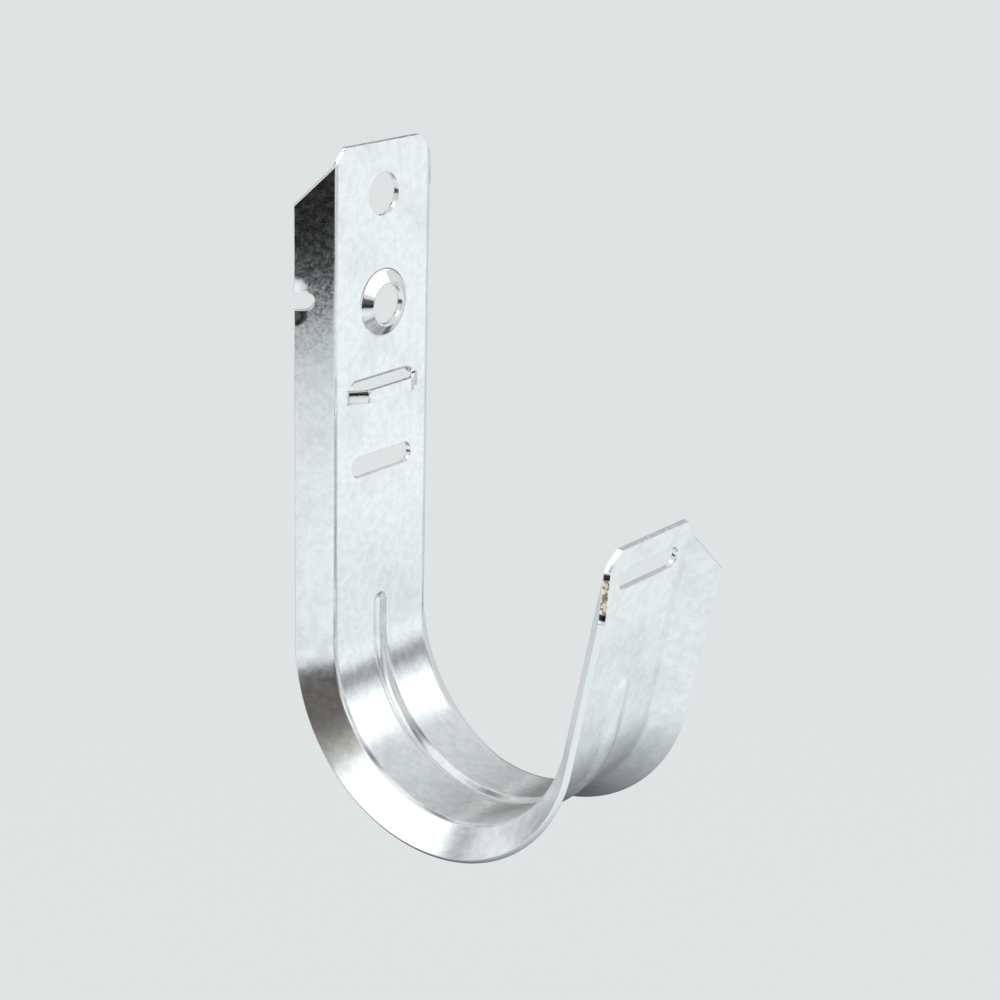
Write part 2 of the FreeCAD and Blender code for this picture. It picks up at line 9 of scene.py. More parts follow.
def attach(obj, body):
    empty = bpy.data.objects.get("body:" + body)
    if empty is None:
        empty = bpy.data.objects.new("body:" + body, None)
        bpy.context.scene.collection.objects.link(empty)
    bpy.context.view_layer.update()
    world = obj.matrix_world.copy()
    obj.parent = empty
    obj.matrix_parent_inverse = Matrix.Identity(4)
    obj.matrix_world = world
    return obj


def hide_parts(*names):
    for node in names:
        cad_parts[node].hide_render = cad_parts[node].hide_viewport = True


bl_info = {
    "name": "J hook cable support",
    "version": (1, 0, 0),
    "blender": (4, 5, 0),
    "location": "View3D > Sidebar > J hook",
    "description": "Forms a pressed steel J hook for cables, and sets up the stage it is shown on",
    "category": "Add Mesh",
}

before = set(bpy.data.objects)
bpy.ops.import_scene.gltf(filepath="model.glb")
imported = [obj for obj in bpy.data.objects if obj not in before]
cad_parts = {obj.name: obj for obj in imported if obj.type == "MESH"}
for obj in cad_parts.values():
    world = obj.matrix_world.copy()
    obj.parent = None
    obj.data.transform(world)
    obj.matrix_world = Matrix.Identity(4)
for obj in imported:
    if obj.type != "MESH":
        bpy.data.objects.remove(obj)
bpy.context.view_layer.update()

# The origin is the centre of the fixing hole on the cable side of the back leg.
# X points from the back leg to the tip leg, Y across the strip, Z up.
ORIGIN = Vector((0, 0, 0))
ACROSS = Vector((0, 1, 0))
UP = Vector((0, 0, 1))
# The middle of the hook, which lamps and cards face.
MIDDLE = Vector((0.02, 0, -0.06))
# The turn that stands a flat shape up, square to X.
UPRIGHT = (0, math.pi / 2, 0)
# Points nearer than this are the same point.
TOUCH = 1e-6
# What lies on a plane is picked within this distance of it.
NEAR = 2e-5
# The least part of a face's normal along an axis that the face is square to.
SQUARE = 0.99
# Edges that turn by more than this, in degrees, are cut edges.
CUT_ANGLE = 40
# Sides of a round hole or slot end. An odd number of pairs leaves no corner at its middle.
ROUND_SIDES = 98
# How far a cutter reaches through the sheet, in thicknesses.
CUTTER_REACH = 4
# Rounding of the dimple's foot and of its lip.
FOOT_ROUND = 0.00035
LIP_ROUND = 0.00012
# Mesh steps across the flare of a notch.
FLARE_STEPS = 8
# The open gap above the bridge: the rounding of its corners, the rounding of its upper edge, and
# the height over the band at which that edge starts.
WINDOW_ROUND = 0.0015
WINDOW_ROLL = 0.0009
WINDOW_LEAVE = 0.0002
# How far the top and bottom of a bridge leg lean back, and how far below its top the lean starts.
BRIDGE_LEAN = 0.00017
BRIDGE_LEAN_HEIGHT = 0.0011
# Rounding of the bends in the bridge.
BRIDGE_ROUND = 0.0005
# Share of a bridge leg over which its band comes free of the sheet, and the gap that it leaves.
FOOT_STEP = 0.12
SHEAR_GAP = 0.00014
# The middle of the stretch of cut edge near the tip that has torn specks and a painted highlight.
TORN_AND_GLINT_PLACE = (0.0591, -0.0144, -0.0532)
# The photograph's point of view, from the side and above, in degrees and metres.
CAMERA_AZIMUTH = 37.89
CAMERA_DOWN = 19.19
CAMERA_ROLL = 1.56
CAMERA_PLACE = Vector((0.24966, -0.28677, 0.07808))
# The bright table's height, and the azimuth of the way to its far edge, in metres and degrees.
TABLE_HEIGHT = -0.21
TABLE_TURN = -31
# Strengths of the table's glow, of the glows in place of lamps, and of the lamps.
TABLE_GLOW = 1.03
LAMP_GLOW = 1.5
LAMP_RADIANCE = 1.3
# Share of its own colour that the floor shows to the camera and to the steel.
FLOOR_SEEN = 0.92


def length(name, text, default):
    return FloatProperty(name=name, description=text, default=default, min=0,
                         unit="LENGTH", subtype="DISTANCE")


def angle(name, text, degrees):
    return FloatProperty(name=name, description=text, default=math.radians(degrees), subtype="ANGLE")


def colour(name, text, default):
    return FloatVectorProperty(name=name, description=text, default=default, size=3, min=0, max=1,
                               subtype="COLOR")


def share(name, text, default):
    return FloatProperty(name=name, description=text, default=default, min=0, max=1, subtype="FACTOR")


class StripSizes(bpy.types.PropertyGroup):
    """The folded strip: its section, its legs and its loop."""
    thickness: length("Thickness", "Steel strip", 0.0011)
    flat: length("Flat width", "Flat middle of the strip, from fold to fold", 0.0238)
    flange: length("Folded edge", "From the fold to the free edge", 0.0070)
    flange_turn: angle("Fold angle", "Turn of the folded edges away from the cable side", 39)
    fold_radius: length("Fold radius", "Outside radius of the folds", 0.0020)
    top: length("Top edge", "Above the fixing hole", 0.0089)
    drop: length("Back leg", "From the fixing hole down to the loop", 0.0783)
    loop: length("Loop radius", "Inside radius of the loop", 0.0254)
    lean: angle("Tip lean", "Lean of the tip leg away from upright", 11)
    tip: length("Tip leg", "Straight leg above the loop", 0.0371)
    corner: length("Corner cut", "Cut on the flat middle, the same both ways", 0.0026)
    corner_drop: length("Corner drop", "Further drop of the cut across a folded edge", 0.0065)
    edge_round: length("Cut edge", "Rounding left on every cut edge", 0.00009)


class BeadSizes(bpy.types.PropertyGroup):
    """The stiffening bead pressed along the loop."""
    floor: length("Groove floor", "Flat width on the cable face", 0.0006)
    wall: length("Groove wall", "Width of each slope on the cable face", 0.0018)
    depth: length("Groove depth", "From the cable face", 0.00062)
    crest: length("Rib crest", "Flat width on the outer face", 0.0006)
    slope: length("Rib slope", "Width of each slope on the outer face", 0.0026)
    rise: length("Rib height", "From the outer face", 0.0006)
    up_back: length("Up the back leg", "Middle of the round end above the loop's start", 0.0045)
    up_tip: length("Up the tip leg", "Middle of the round end above the loop's end", 0.0080)
    pitch: length("Mesh pitch", "Size of the mesh that the bead is pressed into", 0.0002)

    @property
    def reach(self):
        """From the middle of the bead to where its widest slope ends."""
        return max(self.floor / 2 + self.wall, self.crest / 2 + self.slope)


class PressingSizes(bpy.types.PropertyGroup):
    """Everything else that is pierced or pressed in the strip."""
    fixing: length("Fixing hole", "Diameter of the round hole for the fastener", 0.0074)
    dimple_drop: length("Dimple place", "Below the fixing hole", 0.0189)
    dimple: length("Dimple foot", "Diameter of the dimple where it leaves the sheet", 0.0116)
    dimple_rise: length("Dimple rise", "Towards the cables", 0.0013)
    dimple_hole: length("Dimple hole", "Diameter of the hole through the dimple", 0.0070)
    dimple_lip: length("Dimple lip", "Flat ring round the hole in the dimple", 0.00035)
    notch_drop: length("Notch place", "Below the fixing hole", 0.0164)
    notch: length("Notch", "Width along the free edge", 0.0029)
    notch_depth: length("Notch depth", "From the free edge to the round end", 0.0034)
    notch_flare: length("Notch flare", "How far from its mouth a notch draws the cable face down", 0.0027)
    notch_sink: length("Notch sink", "How deep the cable face is drawn down at the mouth", 0.0003)
    bridge_drop: length("Bridge place", "Middle of the band below the fixing hole", 0.0341)
    bridge_band: length("Bridge band", "Height of the band", 0.0025)
    bridge_span: length("Bridge span", "From foot to foot", 0.0182)
    bridge_crown: length("Bridge crown", "Flat crown of the bridge", 0.0112)
    bridge_rise: length("Bridge rise", "Crown towards the cables", 0.0024)
    bridge_gap: length("Bridge gap", "Open gap above the band", 0.00085)
    bridge_gap_length: length("Bridge gap length", "Open gap from side to side", 0.0156)
    tie_drop: length("Tie slot place", "Below the fixing hole", 0.0472)
    tie_length: length("Tie slot length", "From end to end", 0.0155)
    tie: length("Tie slot width", "From edge to edge", 0.00375)
    tip_drop: length("Tip slot place", "Below the end of the tip leg", 0.00595)
    tip_length: length("Tip slot length", "From end to end", 0.0162)
    tip_width: length("Tip slot width", "From edge to edge", 0.0039)


class ZincLook(bpy.types.PropertyGroup):
    """The bright zinc finish."""
    bright: colour("Bright zinc", "Colour of the clean plating", (0.915, 0.910, 0.905))
    dull: colour("Dull zinc", "Colour of the cloudy patches", (0.830, 0.835, 0.842))
    torn: colour("Torn steel", "Colour of the dark specks on the cut edges", (0.34, 0.28, 0.21))
    smudge: share("Smudge", "Share of its brightness that the zinc keeps in a smudge", 0.92)
    shine: share("Roughness", "Least roughness of the plating", 0.085)
    strain: share("Strain", "Roughness that the bending adds to the loop", 0.12)
    grain: share("Grain", "Tilt of the small crystals of the plating", 0.03)
    dents: share("Dents", "Tilt of the low waves that the bending left", 0.05)


class StageLook(bpy.types.PropertyGroup):
    """The plain stage, its camera and its lamps."""
    floor: colour("Floor", "Pale floor and background", (0.745, 0.775, 0.775))
    floor_drop: length("Floor place", "Below the fixing hole", 0.30)
    lens: FloatProperty(name="Lens", description="Focal length on a 36 mm sensor, in mm", default=82.14)


def move_to_object_mode():
    """Ends editing and deselects all."""
    if bpy.context.object and bpy.context.object.mode != "OBJECT":
        bpy.ops.object.mode_set(mode="OBJECT")
    bpy.ops.object.select_all(action="DESELECT")


def take(piece):
    """Makes a piece the only one selected, and the active one."""
    move_to_object_mode()
    piece.select_set(True)
    bpy.context.view_layer.objects.active = piece


def edit(piece):
    """Starts editing a piece, with nothing else selected."""
    take(piece)
    bpy.ops.object.mode_set(mode="EDIT")
    bpy.ops.mesh.select_mode(type="VERT")


def settle(name):
    """Names the new object and moves its place, turn and size into its mesh."""
    piece = bpy.context.object
    piece.name = name
    piece.data.name = name
    bpy.ops.object.transform_apply(location=True, rotation=True, scale=True)
    return piece


def pick(kind, test):
    """Selects what passes a test in the mesh that is being edited: VERT, EDGE or FACE. A vertex
    is tested by its place, an edge by both its ends, and a face by its middle and its normal."""
    bpy.ops.mesh.select_mode(type=kind)
    bpy.ops.mesh.select_all(action="DESELECT")
    data = bpy.context.edit_object.data
    mesh = bmesh.from_edit_mesh(data)
    mesh.normal_update()
    if kind == "VERT":
        chosen = [v for v in mesh.verts if test(v.co)]
    elif kind == "EDGE":
        chosen = [e for e in mesh.edges if test(e.verts[0].co, e.verts[1].co)]
    else:
        chosen = [f for f in mesh.faces if test(f.calc_center_median(), f.normal)]
    for found in chosen:
        found.select_set(True)
    bmesh.update_edit_mesh(data)
    return len(chosen)


def must(count, what):
    """Stops the script where nothing was picked."""
    if not count:
        raise RuntimeError(f"nothing was found to be {what}")


def extrude(step):
    """Extrudes what is selected by a step."""
    bpy.ops.mesh.extrude_region_move(TRANSFORM_OT_translate={"value": step})


def weld():
    """Merges points that are the same."""
    bpy.ops.mesh.select_all(action="SELECT")
    bpy.ops.mesh.remove_doubles(threshold=TOUCH)


def round_off(reach, steps):
    """Bevels the picked edges round."""
    bpy.ops.mesh.bevel(offset=reach, segments=steps, profile=0.5, affect="EDGES",
                       clamp_overlap=False)


def part(test, place, normal, clear_outer=False):
    """Parts the faces that pass a test along a plane, and can clear what lies beyond it."""
    pick("FACE", test)
    bpy.ops.mesh.bisect(plane_co=place, plane_no=normal, clear_outer=clear_outer)


def cut(piece, cutter):
    """Takes a cutter away from a piece and deletes the cutter."""
    take(piece)
    modifier = piece.modifiers.new("cut", "BOOLEAN")
    modifier.operation = "DIFFERENCE"
    modifier.solver = "EXACT"
    modifier.object = cutter
    bpy.ops.object.modifier_apply(modifier=modifier.name)
    bpy.data.objects.remove(cutter)


class Strip:
    """Places on the strip, worked out from its sizes."""

    def __init__(self, sizes):
        self.sizes = sizes
        self.bend = -sizes.drop
        self.centre = Vector((sizes.loop, 0, self.bend))
        self.turn = math.pi - sizes.lean
        self.up_tip = Vector((math.sin(sizes.lean), 0, math.cos(sizes.lean)))
        self.out_tip = Vector((math.cos(sizes.lean), 0, -math.sin(sizes.lean)))
        self.tip_base = self.centre + sizes.loop * self.out_tip

    def along_flange(self, side):
        """The way from a fold to its free edge, on the side of -1 or 1."""
        turn = self.sizes.flange_turn
        return Vector((-math.sin(turn), side * math.cos(turn), 0))

    def tip_height(self, place):
        """How far up the tip leg a place is, from the end of the loop."""
        return (place - self.tip_base).dot(self.up_tip)

    def on_tip(self, place):
        return place.x > self.sizes.loop and self.tip_height(place) > -NEAR

    def on_back_leg(self, place):
        return place.x < self.sizes.loop and place.z > self.bend - NEAR

    def strictly_in_loop(self, place):
        return place.z < self.bend - NEAR and not self.on_tip(place)

    def depth(self, place):
        """How deep a place on the flat middle of the strip is behind the cable face."""
        if self.on_tip(place):
            return (place - self.tip_base).dot(self.out_tip)
        if self.on_back_leg(place):
            return -place.x
        return (place - self.centre).xz.length - self.sizes.loop


def lay_out_strip(strip, bead):
    """The front face of the strip as a sheet with crisp folds, and a fine mesh where the bead goes."""
    sizes = strip.sizes
    height = sizes.top + sizes.drop
    bpy.ops.mesh.primitive_plane_add(size=1, location=(sizes.top - height / 2) * UP, rotation=UPRIGHT)
    bpy.context.object.scale = (height, sizes.flat, 1)
    piece = settle("hook_strip_zinc")
    edit(piece)
    for side in (-1, 1):
        fold = side * sizes.flat / 2
        must(pick("EDGE", lambda a, b: abs(a.y - fold) < NEAR and abs(b.y - a.y) < NEAR), "folded")
        extrude(sizes.flange * strip.along_flange(side))
    columns = math.ceil(bead.reach / bead.pitch) + 1
    for i in range(-columns, columns + 1):
        bpy.ops.mesh.select_all(action="SELECT")
        bpy.ops.mesh.bisect(plane_co=i * bead.pitch * ACROSS, plane_no=ACROSS)
    back_rows = math.ceil((bead.up_back + bead.reach) / bead.pitch) + 1
    for i in range(1, back_rows + 1):
        bpy.ops.mesh.select_all(action="SELECT")
        bpy.ops.mesh.bisect(plane_co=(strip.bend + i * bead.pitch) * UP, plane_no=UP)
    must(pick("EDGE", lambda a, b: abs(a.z - strip.bend) < NEAR and abs(b.z - a.z) < NEAR), "bent")
    steps = math.ceil(strip.turn * sizes.loop / (1.5 * bead.pitch))
    bpy.ops.mesh.spin(steps=steps, angle=strip.turn, center=strip.centre, axis=ACROSS)
    weld()
    must(pick("EDGE", lambda a, b: strip.on_tip(a) and strip.on_tip(b)), "the end of the loop")
    tip_rows = math.ceil((bead.up_tip + bead.reach) / bead.pitch) + 1
    for _ in range(tip_rows):
        extrude(bead.pitch * strip.up_tip)
    extrude((sizes.tip - tip_rows * bead.pitch) * strip.up_tip)
    return piece


def cut_corners(piece, strip):
    """Cuts the corners of both ends: at 45 degrees across the flat, then steeper over the fold."""
    sizes = strip.sizes
    edit(piece)
    reach = sizes.flange * math.cos(sizes.flange_turn)
    for side in (-1, 1):
        fold = side * sizes.flat / 2
        for run, drop in ((sizes.corner, sizes.corner), (reach, sizes.corner_drop)):
            outward = Vector((0, side * drop, run)).normalized()
            top = (0, fold, sizes.top - sizes.corner)
            part(lambda middle, _: strip.on_back_leg(middle), top, outward, clear_outer=True)
            end = strip.tip_base + (sizes.tip - sizes.corner) * strip.up_tip + fold * ACROSS
            outward = outward.y * ACROSS + outward.z * strip.up_tip
            part(lambda middle, _: strip.on_tip(middle), end, outward, clear_outer=True)
    bpy.ops.object.mode_set(mode="OBJECT")


def round_folds(piece, strip):
    """Rounds both folds along the whole strip."""
    sizes = strip.sizes
    edit(piece)
    fold = sizes.flat / 2
    must(pick("EDGE", lambda a, b: abs(abs(a.y) - fold) < NEAR and abs(abs(b.y) - fold) < NEAR), "a fold")
    run = sizes.fold_radius * math.tan(sizes.flange_turn / 2)
    round_off(run, 6)
    bpy.ops.object.mode_set(mode="OBJECT")


def press_bead(piece, strip, bead):
    """Presses the bead away from the cables along the strip's middle: the groove into the front
    skin and the softer rib out of the back skin, with round ends."""
    edit(piece)
    back_end = Vector((0, 0, strip.bend + bead.up_back))
    tip_end = strip.tip_base + bead.up_tip * strip.up_tip
    for level, flat, slope, push in ((0, bead.floor, bead.wall, bead.depth),
                                     (strip.sizes.thickness, bead.crest, bead.slope, bead.rise)):
        softly = {
            "use_proportional_edit": True,
            "proportional_edit_falloff": "SMOOTH",
            "proportional_size": slope,
        }

        def show_only(zone):
            must(pick("VERT", lambda p: zone(p) and abs(strip.depth(p) - level) < NEAR), "the skin")
            bpy.ops.mesh.hide(unselected=True)

        def pick_flat(below, end, across):
            """Picks the bead's flat middle up to its round end."""
            reach = flat / 2 + NEAR
            must(pick("VERT", lambda p: abs(p.y) < reach and (below(p) or across(p - end) < reach)),
                 "the bead")

        show_only(strip.strictly_in_loop)
        must(pick("VERT", lambda p: abs(p.y) < flat / 2 + NEAR), "the bead")
        grow = (strip.sizes.loop + level + push) / (strip.sizes.loop + level)
        bpy.ops.transform.resize(value=(grow, 1, grow), center_override=strip.centre, **softly)
        bpy.ops.mesh.reveal(select=False)
        show_only(strip.on_back_leg)
        pick_flat(lambda p: p.z < back_end.z + NEAR, back_end, lambda away: away.yz.length)
        bpy.ops.transform.translate(value=(-push, 0, 0), **softly)
        bpy.ops.mesh.reveal(select=False)
        show_only(strip.on_tip)
        pick_flat(lambda p: strip.tip_height(p) < bead.up_tip + NEAR, tip_end,
                  lambda away: math.hypot(away.y, away.dot(strip.up_tip)))
        bpy.ops.transform.translate(value=push * strip.out_tip, **softly)
        bpy.ops.mesh.reveal(select=False)
    bpy.ops.object.mode_set(mode="OBJECT")


def face_cables(piece):
    """Turns the sheet's normals towards the cables."""
    edit(piece)
    bpy.ops.mesh.select_all(action="SELECT")
    bpy.ops.mesh.normals_make_consistent(inside=False)
    if pick("FACE", lambda middle, normal: middle.x > -NEAR and normal.x < -SQUARE):
        bpy.ops.mesh.select_all(action="SELECT")
        bpy.ops.mesh.flip_normals()
    bpy.ops.object.mode_set(mode="OBJECT")


def give_thickness(piece, strip):
    """Gives the sheet its thickness, away from the cables, with the cut steel on its edges."""
    take(piece)
    solid = piece.modifiers.new("thickness", "SOLIDIFY")
    solid.thickness = strip.sizes.thickness
    solid.offset = -1
    solid.use_even_offset = True
    solid.material_offset_rim = 1
    bpy.ops.object.modifier_apply(modifier=solid.name)


def part_flats(piece, strip, bead, pressings):
    """Joins the mesh of the plain flats, then parts it between the pressings, so that each one is
    cut in a face of its own."""
    above_back = strip.bend + bead.up_back + bead.reach
    above_tip = bead.up_tip + bead.reach
    half = bead.reach + 2 * bead.pitch

    def is_plain(place):
        if strip.on_tip(place):
            return strip.tip_height(place) > above_tip - NEAR
        return strip.on_back_leg(place) and place.z > above_back - NEAR

    edit(piece)
    must(pick("EDGE", lambda a, b: is_plain(a) and is_plain(b) and abs(a.y - b.y) < NEAR
              and abs(a.y) < half), "a line of the plain flats")
    bpy.ops.mesh.dissolve_edges(use_verts=True)
    bridge_top = pressings.bridge_drop - pressings.bridge_band / 2 - pressings.bridge_gap
    bridge_end = pressings.bridge_drop + pressings.bridge_band / 2
    for over, under in ((pressings.fixing / 2, pressings.dimple_drop - pressings.dimple / 2),
                        (pressings.dimple_drop + pressings.dimple / 2, bridge_top),
                        (bridge_end, pressings.tie_drop - pressings.tie / 2)):
        part(lambda p, _: strip.on_back_leg(p), -(over + under) / 2 * UP, UP)
    bpy.ops.object.mode_set(mode="OBJECT")


def slot_cutter(place, turn, slot_length, slot_width, depth):
    """A solid with round ends that cuts a slot along Y, turned as an Euler angle says."""
    bpy.ops.mesh.primitive_cylinder_add(vertices=ROUND_SIDES, radius=slot_width / 2, depth=depth)
    cutter = bpy.context.object
    edit(cutter)
    for side in (-1, 1):
        pick("VERT", lambda p: p.y * side > 0)
        bpy.ops.transform.translate(value=(0, side * (slot_length - slot_width) / 2, 0))
    bpy.ops.object.mode_set(mode="OBJECT")
    cutter.location = place
    cutter.rotation_euler = turn
    return settle("cutter")


def box_cutter(low, high):
    """A box that cuts, by two of its corners."""
    bpy.ops.mesh.primitive_cube_add(size=1, location=(low + high) / 2)
    bpy.context.object.scale = high - low
    return settle("cutter")


def pierce(piece, strip, pressings):
    """The fixing hole, the two tie slots and the notches in the folded edges."""
    sizes = strip.sizes
    depth = CUTTER_REACH * sizes.thickness
    cut(piece, slot_cutter(ORIGIN, UPRIGHT, pressings.fixing, pressings.fixing, depth))
    tie = -pressings.tie_drop * UP
    cut(piece, slot_cutter(tie, UPRIGHT, pressings.tie_length, pressings.tie, depth))
    tip = strip.tip_base + (sizes.tip - pressings.tip_drop) * strip.up_tip
    leaning = (0, math.pi / 2 + sizes.lean, 0)
    cut(piece, slot_cutter(tip, leaning, pressings.tip_length, pressings.tip_width, depth))
    for side in (-1, 1):
        fold = Vector((0, side * sizes.flat / 2, -pressings.notch_drop))
        mouth = fold + sizes.flange * strip.along_flange(side)
        folded = (0, math.pi / 2, side * sizes.flange_turn)
        cut(piece, slot_cutter(mouth, folded, 2 * pressings.notch_depth, pressings.notch, depth))
        flare_notch(piece, strip, pressings, side)


def flare_notch(piece, strip, pressings, side):
    """Lets the cable face sink towards the mouth of a notch, as the punch left it."""
    sizes = strip.sizes
    fold = Vector((0, side * sizes.flat / 2, -pressings.notch_drop))
    along = strip.along_flange(side)
    outward = Vector((math.cos(sizes.flange_turn), side * math.sin(sizes.flange_turn), 0))
    reach = pressings.notch_flare
    step = reach / FLARE_STEPS
    mouth = fold + sizes.flange * along
    half = pressings.notch / 2

    def on_flange(place):
        away = place - fold
        on_face = abs(away.dot(outward)) < NEAR and away.dot(along) > sizes.flange / 3
        return on_face and strip.on_back_leg(place)

    edit(piece)
    for way in (-1, 1):
        for i in range(1, FLARE_STEPS + 2):
            part(lambda p, _: on_flange(p), fold + way * (half + i * step) * UP, UP)
    for i in range(1, FLARE_STEPS):
        part(lambda p, _: on_flange(p) and abs((p - fold).z) < half + reach + step,
             fold + (sizes.flange - i * step) * along, along)
    pick("VERT", on_flange)
    bpy.ops.mesh.hide(unselected=True)
    must(pick("VERT", lambda p: on_flange(p) and (p - mouth).dot(along) > -NEAR
              and abs(p.z - mouth.z) < half + NEAR), "the mouth of a notch")
    bpy.ops.transform.translate(value=-pressings.notch_sink * outward, use_proportional_edit=True,
                                proportional_edit_falloff="SHARP", proportional_size=reach)
    bpy.ops.mesh.reveal(select=False)
    bpy.ops.object.mode_set(mode="OBJECT")


def press_dimple(piece, strip, pressings):
    """A cone pushed out towards the cables, with a hole through its crown."""
    thick = strip.sizes.thickness
    foot = pressings.dimple / 2
    hole = pressings.dimple_hole / 2
    crown = hole + pressings.dimple_lip
    rise = pressings.dimple_rise
    inset = thick * math.tan(math.atan2(rise, foot - crown) / 2)
    centre = -pressings.dimple_drop * UP
    cut(piece, slot_cutter(centre, UPRIGHT, 2 * foot, 2 * foot, CUTTER_REACH * thick))

    def radius(place):
        return (place - centre).yz.length

    def ring(depth, size):
        """Picks the ring of edges at a depth in the sheet and a distance from the axis."""
        def on_ring(place):
            return abs(place.x - depth) < NEAR and abs(radius(place) - size) < NEAR
        must(pick("EDGE", lambda a, b: on_ring(a) and on_ring(b)), "a ring of the dimple")

    def draw_in(step, start, end):
        """Extrudes the picked ring, moves it and makes it smaller."""
        bpy.ops.mesh.extrude_edges_move(TRANSFORM_OT_translate={"value": (step, 0, 0)})
        bpy.ops.transform.resize(value=(1, end / start, end / start), center_override=centre)

    edit(piece)
    must(pick("FACE", lambda middle, normal: abs(normal.x) < 0.5
              and abs(radius(middle) - foot) < 2 * NEAR), "the wall of a hole")
    bpy.ops.mesh.delete(type="ONLY_FACE")
    pick("EDGE", lambda a, b: abs(a.x - b.x) > thick / 2 and abs(radius(a) - foot) < NEAR)
    bpy.ops.mesh.delete(type="EDGE")
    ring(0, foot)
    draw_in(rise, foot, crown)
    draw_in(0, crown, hole)
    draw_in(-thick, hole, hole)
    ring(-thick, foot)
    narrower = (foot - inset) / foot
    bpy.ops.transform.resize(value=(1, narrower, narrower), center_override=centre)
    draw_in(rise, foot - inset, crown - inset)
    draw_in(0, crown - inset, hole)
    weld()
    for depth, size, soft in ((0, foot, FOOT_ROUND), (-thick, foot - inset, FOOT_ROUND),
                              (rise, crown, LIP_ROUND)):
        ring(depth, size)
        round_off(soft, 4)
    bpy.ops.object.mode_set(mode="OBJECT")


def raise_bridge(piece, strip, pressings):
    """A band of the sheet, sheared free above and below and pushed out towards the cables."""
    thick = strip.sizes.thickness
    foot = pressings.bridge_span / 2
    crown = pressings.bridge_crown / 2
    rise = pressings.bridge_rise
    low = -pressings.bridge_drop - pressings.bridge_band / 2
    high = low + pressings.bridge_band
    side = pressings.bridge_gap_length / 2
    cut(piece, box_cutter(Vector((-2 * thick, -foot, low)), Vector((2 * thick, foot, high))))
    middle_z = (low + high) / 2
    window = high + pressings.bridge_gap
    gap = (window - WINDOW_ROUND) * UP
    cut(piece, slot_cutter(gap, UPRIGHT, 2 * side, 2 * WINDOW_ROUND, CUTTER_REACH * thick))
    edit(piece)

    def on_lip(place):
        inside = high + WINDOW_LEAVE < place.z < window + NEAR and abs(place.y) < side + NEAR
        return inside and abs(place.x) < NEAR

    must(pick("EDGE", lambda a, b: on_lip(a) and on_lip(b)), "the window's upper edge")
    round_off(WINDOW_ROLL, 4)

    def is_wall(way):
        return lambda middle, normal: (abs(middle.y - way * foot) < NEAR and abs(normal.y) > SQUARE
                                       and abs(middle.z - middle_z) < NEAR)

    def narrow(factor):
        bpy.ops.transform.resize(value=(1, 1, factor), center_override=(0, 0, middle_z))

    leg = Vector((rise, foot - crown, 0))
    start = leg * FOOT_STEP
    free = 1 - 2 * SHEAR_GAP / pressings.bridge_band
    must(pick("FACE", is_wall(-1)), "the foot of the bridge")
    extrude(start)
    narrow(free)
    extrude(leg - start)
    extrude((0, 2 * crown, 0))
    down = Vector((-leg.x, leg.y, 0))
    extrude(down * (1 - FOOT_STEP))
    extrude(down * FOOT_STEP)
    narrow(1 / free)
    bpy.ops.mesh.delete(type="ONLY_FACE")
    must(pick("FACE", is_wall(1)), "the foot of the bridge")
    bpy.ops.mesh.delete(type="ONLY_FACE")
    weld()

    part(lambda p, _: p.x > start.x - NEAR and crown + NEAR < abs(p.y) < foot,
         (high - BRIDGE_LEAN_HEIGHT) * UP, UP)

    def leans(place):
        down_leg = abs(place.y) - crown
        in_front = abs(place.x - rise * (1 - down_leg / leg.y)) < NEAR
        return in_front and -NEAR < down_leg < leg.y * (1 - FOOT_STEP) + NEAR

    for edge in (high, low):
        must(pick("VERT", lambda p: leans(p) and abs(p.z - edge) < 2 * SHEAR_GAP), "an edge of a leg")
        bpy.ops.transform.translate(value=(-BRIDGE_LEAN, 0, 0))

    def on_bend(place):
        at_front = rise - BRIDGE_LEAN - NEAR < place.x < rise + NEAR or abs(place.x - rise + thick) < NEAR
        return at_front and abs(abs(place.y) - crown) < NEAR

    must(pick("EDGE", lambda a, b: on_bend(a) and on_bend(b) and (a - b).yz.length > NEAR
              and abs(a.y - b.y) < NEAR), "a bend of the bridge")
    round_off(BRIDGE_ROUND, 5)
    bpy.ops.object.mode_set(mode="OBJECT")


def round_cut_edges(piece, strip):
    """Takes the sharpness off every cut edge and shades the steel smooth."""
    take(piece)
    bevel = piece.modifiers.new("cut edges", "BEVEL")
    bevel.width = strip.sizes.edge_round
    bevel.segments = 2
    bevel.limit_method = "ANGLE"
    bevel.angle_limit = math.radians(CUT_ANGLE)
    bevel.use_clamp_overlap = False
    bpy.ops.object.modifier_apply(modifier=bevel.name)
    bpy.ops.object.shade_smooth()
    normals = piece.modifiers.new("normals", "WEIGHTED_NORMAL")
    normals.mode = "FACE_AREA"
    normals.weight = 50
    bpy.ops.object.modifier_apply(modifier=normals.name)


def node_tree(material):
    """A material's nodes, emptied."""
    material.use_nodes = True
    tree = material.node_tree
    tree.nodes.clear()
    return tree


def feed(tree, socket, given):
    """Links a socket to another node's output, or sets it to a fixed value."""
    if isinstance(given, bpy.types.NodeSocket):
        tree.links.new(given, socket)
    else:
        socket.default_value = given


def calculate(tree, operation, *givens):
    """The outcome of an operation on numbers."""
    node = tree.nodes.new("ShaderNodeMath")
    node.operation = operation
    for socket, given in zip(node.inputs, givens):
        feed(tree, socket, given)
    return node.outputs["Value"]


def combine(tree, operation, *givens):
    """The outcome of an operation on vectors or colours."""
    node = tree.nodes.new("ShaderNodeVectorMath")
    node.operation = operation
    for socket, given in zip(node.inputs, givens):
        feed(tree, socket, given)
    return node.outputs["Value" if operation in ("DISTANCE", "DOT_PRODUCT") else "Vector"]


